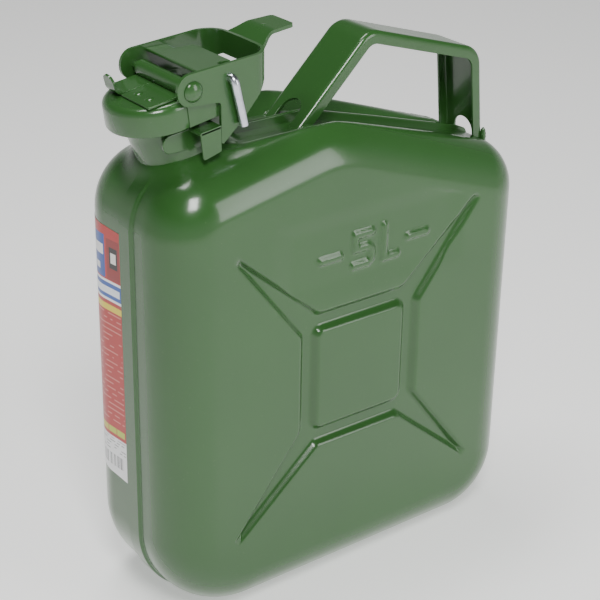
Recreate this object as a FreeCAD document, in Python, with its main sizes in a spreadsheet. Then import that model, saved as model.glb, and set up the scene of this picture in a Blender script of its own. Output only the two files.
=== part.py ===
import FreeCAD, Part
import math
import os

# A 5 litre pressed-steel fuel can. Millimetres, +Z up, X along the wide face with the spout at -X,
# Y across the can. The origin is the middle of the underside.

V = FreeCAD.Vector
ALONG_Y = V(0, 1, 0)

doc = FreeCAD.newDocument("fuel_can")
sheet = doc.addObject("Spreadsheet::Sheet", "sizes")

SIZES = {
    # body
    "can_width": 243, "can_depth": 93, "sheet_steel": 0.9,
    "front_base_corner": 52, "rear_base_corner": 42, "front_shoulder": 34, "rear_shoulder": 30,
    "apex_round": 75, "face_round": 28,
    "front_shoulder_height": 257.5, "apex_height": 279.5, "apex_place": -13, "rear_shoulder_height": 231.5,
    "lap_width": 11, "lap_proud": 1.5,
    # valley along the roof, and the seam flange that stands in it
    "valley_front_x": -66, "valley_front_z": 266.5, "valley_low_x": -8, "valley_low_z": 265,
    "valley_rear_x": 112, "valley_rear_z": 233.5, "valley_half": 15, "valley_lean": 2,
    "seam_half": 1.2, "seam_proud": 6,
    # pressed cross on the wide faces
    "cross_height": 133.5, "cross_depth": 3.5, "cross_draft": 2.2,
    "square_inner": 30.5, "square_outer": 40, "arm_reach_x": 80, "arm_reach_z": 82,
    "arm_root_half": 8.5, "arm_tip_half": 2,
    # raised volume mark above the cross
    "mark_low": 193.5, "mark_high": 214.5, "mark_stroke": 3.6, "mark_proud": 0.8,
    # the closure is laid out in its own place, and stands so far from the body's own place
    "closure_x": -9, "closure_z": 1,
    # neck
    "neck_radius": 19, "neck_wall": 1.2, "neck_foot_radius": 24, "lip_tube": 1.6,
    "mouth_x": -90.5, "mouth_z": 287.5, "foot_x": -71.2, "foot_z": 248.4,
    "neck_tilt": 20, "closure_tilt": 8, "vent_radius": 4, "vent_wall": 0.8,
    # cap and what is on it
    "cap_x": -93, "cap_z": 297.5, "cap_radius": 24.7, "cap_deep": 14.5, "cap_wall": 1.2, "cap_round": 4,
    "gasket_outer": 20.6, "gasket_inner": 9, "gasket_thick": 3,
    "rivet_x": -85.5, "rivet_z": 302.8, "rivet_radius": 2.5, "rivet_head": 5.3, "rivet_dome": 2.2,
    "knuckle_radius": 4.2, "strap_thick": 1.5, "strap_half": 20.5,
    "hinge_x": -62, "hinge_z": 292, "hinge_radius": 2, "hinge_eye": 4.5, "running_gap": 0.05,
    # lever
    "lever_half": 27, "lever_steel": 2, "lever_end_x": -37.5, "lever_corner": 12,
    "tab_end_x": -12, "tab_end_z": 321, "tab_half": 9.5, "tab_root_half": 20,
    "wire_x": -64, "wire_z": 306.5, "wire_radius": 2.25, "wire_drop": 25, "wire_bend": 3.2,
    # handle
    "handle_half": 15, "handle_steel": 1.5, "handle_flange": 7,
    "handle_front_x": -24, "handle_front_z": 264.5, "handle_crown_x": 25, "handle_crown_z": 312.4,
    "handle_rear_x": 106.2, "handle_rear_z": 288.1, "handle_foot_x": 112.5, "handle_foot_z": 226,
    "handle_corner": 14, "handle_sunk": 14,
    # paper label
    "label_edge": 1, "label_turn": 45, "label_low": 77, "label_high": 225.5, "label_thick": 0.15,
    # half of the whole can's overhang, which puts the origin in the middle
    "centring": 2.7,
}
for row, (alias, value) in enumerate(SIZES.items(), start=1):
    sheet.set(f"A{row}", alias)
    sheet.set(f"B{row}", str(value))
    sheet.setAlias(f"B{row}", alias)
doc.recompute()


def size(alias):
    """A driving size, read from the sheet."""
    return float(sheet.get(alias))


BODY_PLACE = V(size("centring"), 0, 0)
CLOSURE_SHIFT = V(size("closure_x"), 0, size("closure_z"))
CLOSURE_PLACE = BODY_PLACE + CLOSURE_SHIFT


def piece(label, shape, place):
    """A sub-part whose shape is worked out with Part's own functions, put in its place on the can."""
    made = doc.addObject("Part::Feature", label)
    made.Label = label
    made.Shape = shape
    made.Placement = FreeCAD.Placement(place, FreeCAD.Rotation())
    return made


def bind(made, **expressions):
    """Tie an object's sizes to cells of the sheet."""
    for name, expression in expressions.items():
        made.setExpression(name.replace("__", "."), expression)


# ---------------------------------------------------------------- outlines

def corner_arc(before, corner, after, radius):
    """The arc that rounds one corner of an outline, and the two points where it meets the straights."""
    back = (before - corner).normalize()
    ahead = (after - corner).normalize()
    half_angle = back.getAngle(ahead) / 2
    reach = radius / math.tan(half_angle)
    start = corner + back * reach
    end = corner + ahead * reach
    centre = corner + (back + ahead).normalize() * (radius / math.sin(half_angle))
    middle = centre + (corner - centre).normalize() * radius
    return Part.Arc(start, middle, end).toShape(), start, end


def rounded_wire(points, radii, closed=True):
    """A wire through the points, with each corner rounded by its own radius (0 leaves it sharp)."""
    count = len(points)
    corners = []
    for index, (point, radius) in enumerate(zip(points, radii)):
        end_of_open = not closed and index in (0, count - 1)
        if radius <= 0 or end_of_open:
            corners.append((None, point, point))
        else:
            corners.append(corner_arc(points[index - 1], point, points[(index + 1) % count], radius))
    edges = []
    for index, (arc, start, end) in enumerate(corners):
        if arc:
            edges.append(arc)
        if index < count - 1 or closed:
            following = corners[(index + 1) % count][1]
            if end.distanceToPoint(following) > 1e-6:
                edges.append(Part.LineSegment(end, following).toShape())
    return Part.Wire(edges)


def slab(points, radii, low_y, high_y):
    """A rounded XZ outline, solid from low_y to high_y."""
    face = Part.Face(rounded_wire([V(x, low_y, z) for x, z in points], radii))
    return face.extrude(V(0, high_y - low_y, 0))


def inset_points(points, distance):
    """An outline's corners after every side is moved in by the distance (corners run clockwise)."""
    count = len(points)
    moved = []
    for index in range(count):
        (ax, az), (bx, bz), (cx, cz) = points[index - 1], points[index], points[(index + 1) % count]
        first = V(bx - ax, 0, bz - az).normalize()
        second = V(cx - bx, 0, cz - bz).normalize()
        normal_one = V(first.z, 0, -first.x)
        normal_two = V(second.z, 0, -second.x)
        shift = (normal_one + normal_two) * (distance / (1 + normal_one.dot(normal_two)))
        moved.append((bx + shift.x, bz + shift.z))
    return moved


# ---------------------------------------------------------------- body shells

half_width = size("can_width") / 2
half_depth = size("can_depth") / 2
steel = size("sheet_steel")
ROOM = 400  # larger than the can in every direction, for cutting shapes

# the side view of the can's wall, from the lower front corner up over the roof
BODY_POINTS = [
    (-half_width, 0),
    (-half_width, size("front_shoulder_height")),
    (size("apex_place"), size("apex_height")),
    (half_width, size("rear_shoulder_height")),
    (half_width, 0),
]
BODY_RADII = [size("front_base_corner"), size("front_shoulder"), size("apex_round"), size("rear_shoulder"),
              size("rear_base_corner")]


def body_slab(inset, low_y, high_y):
    """The can's side view, moved in by the inset, as a slab."""
    return slab(inset_points(BODY_POINTS, inset), [radius - inset for radius in BODY_RADII], low_y, high_y)


def round_edges(solid, radius, at_y):
    """Round every edge of the solid that lies in the plane y = at_y."""
    edges = [edge for edge in solid.Edges
             if abs(edge.BoundBox.YMin - at_y) < 0.01 and abs(edge.BoundBox.YMax - at_y) < 0.01]
    return solid.makeFillet(radius, edges)


VALLEY_LINE = [V(size(f"valley_{end}_x"), 0, size(f"valley_{end}_z")) for end in ("front", "low", "rear")]


def valley_cutter(inset):
    """The valley between the two crests of the roof: a flat floor on two straight runs, with leaning sides."""
    half_floor = size("valley_half") + inset * 0.5
    rise, overrun = 40, 30
    low_x = size("valley_low_x")
    sides = (V(low_x - ROOM, -ROOM / 2, 0), V(low_x, -ROOM / 2, 0))
    runs = []
    for start, end, side in zip(VALLEY_LINE, VALLEY_LINE[1:], sides):
        along = (end - start).normalize()
        up = V(-along.z, 0, along.x)
        half_mouth = half_floor + size("valley_lean") * rise
        section = [start - along * overrun + up * lift + V(0, across, 0) for across, lift in (
            (-half_floor, -inset), (-half_mouth, rise - inset), (half_mouth, rise - inset), (half_floor, -inset))]
        face = Part.Face(Part.makePolygon(section + section[:1]))
        run = face.extrude(end - start + along * (2 * overrun))
        # each run stops where the other begins, so that neither digs into the other's slope
        runs.append(run.common(Part.makeBox(ROOM, ROOM, ROOM, side)))
    return runs[0].fuse(runs[1])


def drafted(points, shrunk, deep_from, deep_to, radius):
    """A pressed recess whose walls lean: wide at deep_from, narrow at deep_to."""
    wide = rounded_wire([V(x, deep_from, z) for x, z in points], [radius] * len(points))
    narrow = rounded_wire([V(x, deep_to, z) for x, z in shrunk], [radius] * len(points))
    return Part.makeLoft([wide, narrow], True, True)


def square_points(half, height):
    return [(-half, height - half), (-half, height + half), (half, height + half), (half, height - half)]


def cross_cutter(inset):
    """The sunk square ring and its four arms, on the -Y face."""
    middle = size("cross_height")
    draft = size("cross_draft")
    outside = -half_depth - 1
    floor = -half_depth + size("cross_depth") + inset
    scale = (floor - outside) / size("cross_depth") * draft
    outer = size("square_outer") + inset * 0.5
    inner = size("square_inner") - inset * 0.5
    ring = drafted(square_points(outer + draft, middle), square_points(outer + draft - scale, middle),
                   outside, floor, 4)
    island = drafted(square_points(inner - draft, middle), square_points(inner - draft + scale, middle),
                     outside - 0.5, floor + 0.5, 3)
    cutter = ring.cut(island)
    for side_x, side_z in ((1, 1), (1, -1), (-1, -1), (-1, 1)):
        root = V(side_x * (outer - 5), 0, middle + side_z * (outer - 5))
        tip = V(side_x * size("arm_reach_x"), 0, middle + side_z * size("arm_reach_z"))
        along = (tip - root).normalize()
        across = V(-along.z, 0, along.x)
        wide, narrow = [], []
        for end, half in ((root, size("arm_root_half")), (tip, size("arm_tip_half"))):
            for sign in (-1, 1):
                sign = sign if end is root else -sign
                point = end + across * (half * sign)
                wide.append((point.x, point.z))
                lean = end + across * (max(half - draft, 0.6) * sign) - (along * 6 if end is tip else V())
                narrow.append((lean.x, lean.z))
        arm = Part.makeLoft([Part.makePolygon([V(x, depth, z) for x, z in ring_of + ring_of[:1]])
                             for ring_of, depth in ((wide, outside), (narrow, floor))], True, True)
        cutter = cutter.fuse(arm)
    return cutter


def half_form(inset, lapped):
    """One half of the can as a filled form on the -Y side; inset gives the inside of the sheet.

    The lapped half carries the raised band that covers the edge of the other half."""
    main = round_edges(body_slab(inset, -half_depth + inset, 0), size("face_round") - inset,
                       -half_depth + inset)
    if lapped:
        edge = -size("lap_width") + inset * 0.5
        band = round_edges(body_slab(inset - size("lap_proud"), edge, 0), 0.8, edge)
        above_floor = Part.makeBox(2 * ROOM, ROOM, ROOM, V(-ROOM, -ROOM / 2, inset))
        main = main.fuse(band.common(above_floor))
    return main.cut(valley_cutter(inset)).cut(cross_cutter(inset)).removeSplitter()


def capacity_mark():
    """Raised strokes of the volume mark: a dash, a five, an ell and a dash."""
    low, high, stroke, proud = size("mark_low"), size("mark_high"), size("mark_stroke"), size("mark_proud")
    mid = (low + high) / 2
    bars = [
        (-30, mid - 1, -14, mid + 2), (29, mid - 1, 45, mid + 2),
        (-8, high - stroke, 6, high), (-8, mid, -8 + stroke, high), (-8, mid - 1, 6, mid + 2.6),
        (6 - stroke, low, 6, mid + 2.6), (-8, low, 6, low + stroke),
        (12, low, 12 + stroke, high), (12, low, 24, low + stroke),
    ]
    mark = None
    for x_low, z_low, x_high, z_high in bars:
        bar = Part.makeBox(x_high - x_low, 2 * proud, z_high - z_low, V(x_low, -half_depth - proud, z_low))
        mark = bar if mark is None else mark.fuse(bar)
    return mark


# ---------------------------------------------------------------- neck

def tilted_circle(x, z, radius, tilt):
    """A circle whose axis leans towards -X by the tilt, in degrees."""
    lean = math.radians(tilt)
    return Part.Wire(Part.makeCircle(radius, V(x, 0, z), V(-math.sin(lean), 0, math.cos(lean))))


def neck_form(inset):
    """The oblique spout, flared at its foot, as a filled form."""
    foot = V(size("foot_x"), 0, size("foot_z"))
    mouth = V(size("mouth_x"), 0, size("mouth_z"))
    middle = foot + (mouth - foot) * 0.42
    extra = 0.01 if inset else 0
    return Part.makeLoft([
        tilted_circle(foot.x, foot.z - extra, size("neck_foot_radius") - inset, size("neck_tilt")),
        tilted_circle(middle.x, middle.z, size("neck_radius") + 0.6 - inset, size("neck_tilt")),
        tilted_circle(mouth.x, mouth.z + extra, size("neck_radius") - inset, size("closure_tilt")),
    ], True, False)


neck_outer = neck_form(0)
neck_inner = neck_form(size("neck_wall"))
neck_room = neck_outer.translated(CLOSURE_SHIFT)
near_side = Part.makeBox(2 * ROOM, ROOM, 2 * ROOM, V(-ROOM, -ROOM, -ROOM))
mark = capacity_mark()
rear_mark = mark.mirror(V(mark.BoundBox.Center.x, 0, 0), V(1, 0, 0))
lapped_form, plain_form = half_form(0, True), half_form(0, False)
both_forms = lapped_form.fuse(plain_form.mirror(V(), ALONG_Y))


def skin(form, raised, lapped):
    """The sheet of one half: its filled form with the raised mark, less the inside and the hole for the neck."""
    return form.fuse(raised).cut(half_form(steel, lapped).common(near_side)).cut(neck_room)


piece("front_shell", skin(lapped_form, mark, True), BODY_PLACE)
piece("rear_shell", skin(plain_form, rear_mark, False).mirror(V(), ALONG_Y), BODY_PLACE)


def seam_flange():
    """The two shells' edges welded back to back, standing up along the middle of the valley."""
    half, proud, sunk, clear = size("seam_half"), size("seam_proud"), 6, 6
    front, low, rear = [(point.x, point.z) for point in VALLEY_LINE]
    top = [(front[0] + clear, front[1] + 1.5), (front[0] + 2 * clear, front[1] + proud * 0.8),
           (low[0], low[1] + proud), (rear[0], rear[1] + proud * 0.5)]
    bottom = [(rear[0] + 3, rear[1] - sunk), (low[0], low[1] - sunk), (front[0] + clear, front[1] - sunk)]
    flange = slab(top + bottom, [0, 4, 20, 2, 0, 0, 0], -half, half).cut(both_forms).cut(neck_room)
    return max(flange.Solids, key=lambda solid: solid.Volume)


piece("seam_flange", seam_flange(), BODY_PLACE)

lean = math.radians(size("closure_tilt"))
closure_up = V(-math.sin(lean), 0, math.cos(lean))
closure_back = V(math.cos(lean), 0, math.sin(lean))
mouth = V(size("mouth_x"), 0, size("mouth_z"))
lip = Part.makeTorus(size("neck_radius") - 0.2, size("lip_tube"), mouth - closure_up * 1.2, closure_up)
piece("neck", neck_outer.cut(neck_inner).fuse(lip.cut(neck_inner)), CLOSURE_PLACE)

# The air pipe lies inside the neck, along its upper side, and lets air in while fuel is poured.
foot = V(size("foot_x"), 0, size("foot_z"))
pipe_way = (mouth - foot).normalize()
pipe_start = V(-50.4, 0, 240)
pipe_length = 50
vent_outer = Part.makeCylinder(size("vent_radius"), pipe_length, pipe_start, pipe_way)
vent_bore = Part.makeCylinder(size("vent_radius") - size("vent_wall"), pipe_length, pipe_start, pipe_way)
piece("vent_tube", vent_outer.cut(vent_bore), CLOSURE_PLACE)

# ---------------------------------------------------------------- hinge of the cap

hinge = V(size("hinge_x"), 0, size("hinge_z"))
pin_half = size("cap_radius") + 0.2


def hinge_bracket():
    """A saddle welded to the back of the neck, with two ears that carry the hinge pin."""
    ear_outer, ear_inner = 16, 14
    foot_low, bridge_high = 270, 275
    ears = slab([(-80, foot_low), (hinge.x - 4.2, hinge.z + 1.6), (hinge.x + 4.4, hinge.z - 1),
                 (-57, foot_low)], [0, 0, 0, 0], -ear_outer, ear_outer)
    eye = Part.makeCylinder(size("hinge_eye"), 2 * ear_outer, hinge - ALONG_Y * ear_outer, ALONG_Y)
    gap = slab([(-90, bridge_high), (-90, 300), (-40, 300), (-40, bridge_high)], [0, 0, 0, 0],
               -ear_inner, ear_inner)
    hole = Part.makeCylinder(size("hinge_radius"), 60, hinge - ALONG_Y * 30, ALONG_Y)
    lip_room = Part.makeCylinder(size("neck_radius") + 2.2, 14, mouth - closure_up * 6, closure_up)
    saddle = ears.fuse(eye).cut(gap).cut(hole).cut(neck_outer).cut(lip_room)
    return max(saddle.Solids, key=lambda solid: solid.Volume)


piece("hinge_bracket", hinge_bracket(), CLOSURE_PLACE)

hinge_pin = doc.addObject("Part::Cylinder", "hinge_pin")
bind(hinge_pin, Radius="sizes.hinge_radius", Height="2 * sizes.cap_radius + 0.4")
hinge_pin.Placement = FreeCAD.Placement(CLOSURE_PLACE + hinge - ALONG_Y * pin_half,
                                        FreeCAD.Rotation(V(0, 0, 1), ALONG_Y))

# ---------------------------------------------------------------- cam lugs on the neck


def cam_lug(side):
    """A folded lug: a tongue along the neck, a top flange and an outer flap that hangs down."""
    steel_lug = 1.8
    wall_low, wall_high, flap_high = 17.5, 19.6, 29.2
    tongue = slab([(-99, 270), (-99, 279.5), (-70.5, 283.5), (-70.5, 270)], [4.5, 4.5, 1.5, 2],
                  wall_low, wall_high)
    roof = slab([(-83, 279.8), (-83, 281.8), (-70.5, 283.6), (-70.5, 281.6)], [0, 0, 0, 0],
                wall_low, flap_high)
    flap = slab([(-81.2, 266.5), (-83, 281.8), (-70.5, 283.6), (-70.2, 269.6)], [1.5, 0.8, 0.8, 1.5],
                flap_high - steel_lug, flap_high)
    lug = tongue.fuse(roof).fuse(flap).cut(neck_outer)
    biggest = max(lug.Solids, key=lambda solid: solid.Volume)
    return biggest if side > 0 else biggest.mirror(V(), ALONG_Y)


for lug_label, side in (("near_lug", -1), ("far_lug", 1)):
    piece(lug_label, cam_lug(side), CLOSURE_PLACE)

# ---------------------------------------------------------------- cap, gasket, strap and rivet

cap_top = V(size("cap_x"), 0, size("cap_z"))
wall = size("cap_wall")
rivet = V(size("rivet_x"), 0, size("rivet_z"))


def closure_cylinder(radius, low, high):
    """A cylinder on the cap's axis, from low to high below the cap's top."""
    return Part.makeCylinder(radius, high - low, cap_top - closure_up * high, closure_up)


def closure_point(back, up):
    """A point of the cap's middle plane: so far behind its axis and so far above its top."""
    point = cap_top + closure_back * back + closure_up * up
    return (point.x, point.z)


def cap_cup():
    """The pressed cup with rounded top edge, and the two wings that run back to the hinge pin."""
    radius, deep = size("cap_radius"), size("cap_deep")
    top_round = size("cap_round")

    def rounded_cup(cup_radius, low, high, edge_round):
        cup = closure_cylinder(cup_radius, low, high)
        rim = [edge for edge in cup.Edges
               if edge.Closed and edge.CenterOfMass.distanceToPoint(cap_top - closure_up * low) < 0.01]
        return cup.makeFillet(edge_round, rim)

    cup = rounded_cup(radius, 0, deep, top_round)
    hollow = rounded_cup(radius - wall, wall, deep + 1, top_round - wall)
    wing_points = [closure_point(-2, -deep), closure_point(-2, -3), closure_point(20, -3),
                   (hinge.x + 3, hinge.z + 5), (hinge.x + 5, hinge.z - 5), (hinge.x - 5, hinge.z - 5)]
    wings = slab(wing_points, [0, 0, 4, 4, 4, 4], -radius, radius)
    between = slab([closure_point(-4, -deep - 20), closure_point(-4, 3), closure_point(60, 3),
                    closure_point(60, -deep - 20)], [0, 0, 0, 0], -radius + wall, radius - wall)
    form = cup.cut(hollow).fuse(wings.cut(between))
    back_opening = slab([closure_point(6, -deep - 2), closure_point(6, -6), closure_point(40, -6),
                         closure_point(40, -deep - 2)], [0, 0, 0, 0], -radius + wall, radius - wall)
    eye_holes = Part.makeCylinder(size("hinge_radius") + size("running_gap"), 60, hinge - ALONG_Y * 30, ALONG_Y)
    return form.cut(back_opening).cut(eye_holes)


piece("cap", cap_cup(), CLOSURE_PLACE)

gasket_low = wall + size("gasket_thick")
gasket = closure_cylinder(size("gasket_outer"), wall, gasket_low)
piece("gasket", gasket.cut(closure_cylinder(size("gasket_inner"), wall, gasket_low)), CLOSURE_PLACE)
retainer = closure_cylinder(size("gasket_inner"), wall, gasket_low)
retaining_disc = closure_cylinder(size("gasket_inner") + 5, gasket_low, gasket_low + 1)
piece("gasket_retainer", retainer.fuse(retaining_disc), CLOSURE_PLACE)


def cap_strap():
    """The strap welded on the cap: a flat leaf, a tongue turned up at its far end, and the rolled knuckle."""
    thick, half = size("strap_thick"), size("strap_half")
    lift = 0.02
    leaf = slab([closure_point(-14, lift), closure_point(-14, thick), closure_point(8, thick),
                 closure_point(8, lift)], [0, 0, 0, 0], -half, 3)
    inner_leaf = slab([closure_point(-9, lift), closure_point(-9, thick), closure_point(8, thick),
                       closure_point(8, lift)], [0, 0, 0, 0], 3, half)
    horn = slab([closure_point(-9, lift), closure_point(-14, 2), closure_point(-17, 10),
                 closure_point(-15.6, 10.6), closure_point(-12.8, 3.4), closure_point(-8, thick)],
                [0, 4, 0.5, 0.5, 3, 0], 5, 15)
    knuckle = Part.makeCylinder(size("knuckle_radius"), 2 * half, rivet - ALONG_Y * half, ALONG_Y)
    bore = Part.makeCylinder(size("rivet_radius"), 2 * half, rivet - ALONG_Y * half, ALONG_Y)
    strap = leaf.fuse(inner_leaf).fuse(horn).fuse(knuckle)
    for across in (-12, -2):
        place = cap_top + closure_back * -8 + closure_up * thick + V(0, across, 0)
        dome = Part.makeSphere(3, place - closure_up * 2.3, closure_up)
        strap = strap.fuse(dome.common(Part.makeCylinder(4, 3, place - closure_up * 0.2, closure_up)))
    return strap.cut(bore).cut(closure_cylinder(size("cap_radius"), 0, 12))


piece("cap_strap", cap_strap(), CLOSURE_PLACE)

head_seat = size("lever_half") + 0.3


def rivet_pin():
    """The through rivet on which the lever turns, with a domed head at each end."""
    head, dome = size("rivet_head"), size("rivet_dome")
    sphere_radius = (head ** 2 + dome ** 2) / (2 * dome)
    pin = Part.makeCylinder(size("rivet_radius"), 2 * head_seat, rivet - ALONG_Y * head_seat, ALONG_Y)
    for way in (-1, 1):
        seat = rivet + ALONG_Y * (way * head_seat)
        ball = Part.makeSphere(sphere_radius, seat - ALONG_Y * (way * (sphere_radius - dome)))
        disc = Part.makeCylinder(head + 0.5, dome + 1, seat, ALONG_Y * way)
        pin = pin.fuse(ball.common(disc))
    return pin


piece("rivet_pin", rivet_pin(), CLOSURE_PLACE)

# ---------------------------------------------------------------- lever and its locking wire


def lever_form():
    """The U-shaped lever: two cheeks with a hooked leg each, a round end and a finger tab."""
    half, thick, end_x = size("lever_half"), size("lever_steel"), size("lever_end_x")
    side_points = [
        (rivet.x - 9, rivet.z - 7), (rivet.x - 8.6, rivet.z + 8.4), (end_x, 315.6), (end_x, 303.6),
        (-55.3, 284), (-68.2, 272.6), (-69.2, 273.6), (-69.4, 294.6),
    ]
    side = slab(side_points, [7.5, 7.5, 0, 1, 6, 0.4, 0.4, 2.5], -half - 1, half + 1)
    plan_low, plan_high = 260, 330

    def plan_slab(inset):
        front_x = rivet.x - 30
        rear_x = end_x - inset
        width = half - inset
        corner = size("lever_corner") - inset
        points = [V(front_x, -width, plan_low), V(rear_x, -width, plan_low), V(rear_x, width, plan_low),
                  V(front_x, width, plan_low)]
        return Part.Face(rounded_wire(points, [0, corner, corner, 0])).extrude(V(0, 0, plan_high - plan_low))

    cheeks = side.common(plan_slab(0).cut(plan_slab(thick)))
    tab_end = V(size("tab_end_x"), 0, size("tab_end_z"))
    tab_side = slab([(end_x - 2, 311), (end_x - 2, 315.6), (-27, 319.4), (tab_end.x, tab_end.z),
                     (tab_end.x, tab_end.z - 1.8), (-26, 316.8), (end_x, 311)],
                    [0, 3, 12, 0, 0, 10, 0], -half, half)
    root, tip = size("tab_root_half"), size("tab_half")
    tab_plan = Part.Face(rounded_wire(
        [V(end_x - 2, -root, 300), V(end_x + 1, -root, 300), V(end_x + 9, -tip - 2, 300),
         V(tab_end.x, -tip, 300), V(tab_end.x, tip, 300), V(end_x + 9, tip + 2, 300),
         V(end_x + 1, root, 300), V(end_x - 2, root, 300)],
        [0, 2, 8, 4, 4, 8, 2, 0])).extrude(V(0, 0, 40))
    dimple_seat = V(-24.5, 0, 318.2)
    dimple = Part.makeSphere(4, dimple_seat - V(0, 0, 2.6))
    tab = tab_side.common(tab_plan).fuse(dimple.common(Part.makeCylinder(3, 4, dimple_seat - V(0, 0, 1))))
    rivet_hole = Part.makeCylinder(size("rivet_radius") + size("running_gap"), 80, rivet - ALONG_Y * 40, ALONG_Y)
    wire_axis = V(size("wire_x"), -40, size("wire_z"))
    wire_hole = Part.makeCylinder(size("wire_radius") + size("running_gap"), 80, wire_axis, ALONG_Y)
    return cheeks.fuse(tab).cut(rivet_hole).cut(wire_hole)


piece("lever", lever_form(), CLOSURE_PLACE)


def lever_web():
    """The plate that joins the cheeks above the locking wire, with a rounded notch on the near side."""
    half = size("lever_half") - size("lever_steel")
    plate = slab([(-80, 309.3), (-80, 310.8), (-56, 310.8), (-56, 309.3)], [0, 0, 0, 0], -half, half)
    notch = Part.makeCylinder(5, 10, V(-61, -half + 6, 305), V(0, 0, 1))
    far_step = Part.makeBox(18, 9, 10, V(-68, half - 9, 305))
    near_step = Part.makeBox(12, 7, 10, V(-61, -half - 1, 305))
    return plate.cut(notch).cut(far_step).cut(near_step)


piece("lever_web", lever_web(), CLOSURE_PLACE)


def locking_wire():
    """A bent wire: straight through both cheeks, then down outside the near one."""
    radius, bend = size("wire_radius"), size("wire_bend")
    near_y = -size("lever_half") - bend - 0.3
    start = V(size("wire_x"), size("lever_half") + 2, size("wire_z"))
    corner = V(size("wire_x"), near_y, size("wire_z"))
    end = corner + V(6, 0, -size("wire_drop"))
    path = rounded_wire([start, corner, end], [0, bend, 0], closed=False)
    profile = Part.Wire(Part.makeCircle(radius, start, ALONG_Y))
    return path.makePipeShell([profile], True, False)


piece("locking_wire", locking_wire(), CLOSURE_PLACE)

# ---------------------------------------------------------------- handle

front_foot = V(size("handle_front_x"), 0, size("handle_front_z"))
crown = V(size("handle_crown_x"), 0, size("handle_crown_z"))
rear_crown = V(size("handle_rear_x"), 0, size("handle_rear_z"))
rear_foot = V(size("handle_foot_x"), 0, size("handle_foot_z"))


def handle_form():
    """A pressed strap: a web across the top with a flange turned in along each edge."""
    half, thick, flange = size("handle_half"), size("handle_steel"), size("handle_flange")
    corner, deep = size("handle_corner"), size("handle_sunk")
    front_end = front_foot + (front_foot - crown).normalize() * deep
    rear_end = rear_foot + (rear_foot - rear_crown).normalize() * deep
    outline = [(point.x, point.z) for point in (front_end, crown, rear_crown, rear_end)] + [(50, 150)]
    full = slab(outline, [0, corner, corner - 2, 0, 0], -half, half)
    window = slab(inset_points(outline, flange), [0, 7, 6, 0, 0], -half, half)
    hollow = slab(inset_points(outline, thick), [0, corner - thick, corner - 2 - thick, 0, 0],
                  -half + thick, half - thick)
    strap = full.cut(window).cut(hollow)
    arch_half, arch_long = 7.5, 30
    for place, along in ((front_foot + V(7.5, 0, 6.5), V(1, 0, -1)), (rear_foot + V(0, 0, 10), V(1, 0, 0))):
        arch = Part.makeCylinder(arch_half, 2 * arch_long, place - along.normalize() * arch_long, along)
        room = Part.makeBox(40, 2 * arch_half, 30, V(place.x - 20, -arch_half, place.z - 30))
        strap = strap.cut(arch).cut(room)
    return strap.cut(both_forms)


handle_solid = max(handle_form().Solids, key=lambda solid: solid.Volume)
piece("handle", handle_solid, BODY_PLACE)


def foot_weld(middle, run, side):
    """A weld bead along the outside of one foot of the handle, where it meets the roof."""
    bead_radius, bead_length = 2.2, 9
    start = middle + V(0, side * size("handle_half"), 0) - run * (bead_length / 2)
    bead = Part.makeCylinder(bead_radius, bead_length, start, run)
    for end in (start, start + run * bead_length):
        bead = bead.fuse(Part.makeSphere(bead_radius, end))
    bead = bead.removeSplitter().cut(both_forms).cut(handle_solid)
    return max(bead.Solids, key=lambda solid: solid.Volume)


front_run = (VALLEY_LINE[1] - VALLEY_LINE[0]).normalize()
rear_run = (rear_crown - rear_foot).normalize()
for weld_name, middle, run in (
        ("front_foot_weld", front_foot + V(7, 0, 1.4), front_run),
        ("rear_foot_weld", rear_foot + rear_run * 9, rear_run)):
    for side_name, side in (("near", -1), ("far", 1)):
        piece(f"{weld_name}_{side_name}", foot_weld(middle, run, side), BODY_PLACE)

# ---------------------------------------------------------------- label


def label_sheet():
    """A thin sheet on the rear shell's front wall, which goes round part of the rounding towards its face."""
    bend, thick, turn = size("face_round"), size("label_thick"), math.radians(size("label_turn"))
    wall_x, low = -half_width, size("label_low")
    start_y, bend_y = size("label_edge"), half_depth - bend

    def on_bend(radius, angle):
        return V(wall_x + bend - radius * math.cos(angle), bend_y + radius * math.sin(angle), low)

    outer, inner = bend + thick, bend
    edges = [
        Part.makeLine(V(wall_x - thick, start_y, low), on_bend(outer, 0)),
        Part.Arc(on_bend(outer, 0), on_bend(outer, turn / 2), on_bend(outer, turn)).toShape(),
        Part.makeLine(on_bend(outer, turn), on_bend(inner, turn)),
        Part.Arc(on_bend(inner, turn), on_bend(inner, turn / 2), on_bend(inner, 0)).toShape(),
        Part.makeLine(on_bend(inner, 0), V(wall_x, start_y, low)),
        Part.makeLine(V(wall_x, start_y, low), V(wall_x - thick, start_y, low)),
    ]
    return Part.Face(Part.Wire(edges)).extrude(V(0, 0, size("label_high") - low))


piece("label", label_sheet(), BODY_PLACE)

# ---------------------------------------------------------------- check and export

doc.recompute()
os.makedirs("parts", exist_ok=True)
for made in doc.Objects:
    if not hasattr(made, "Shape"):
        continue
    broken = [state for state in made.State if state in ("Invalid", "Error")]
    if broken or made.Shape.isNull() or not made.Shape.isValid():
        raise RuntimeError(f"{made.Label} has no sound shape {broken}")
    made.Shape.exportStep(f"parts/{made.Label}.step")
    print(made.Label, len(made.Shape.Solids), round(made.Shape.Volume), made.Shape.BoundBox)
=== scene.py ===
import math

import bmesh
import bpy
from mathutils import Matrix, Vector


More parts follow.
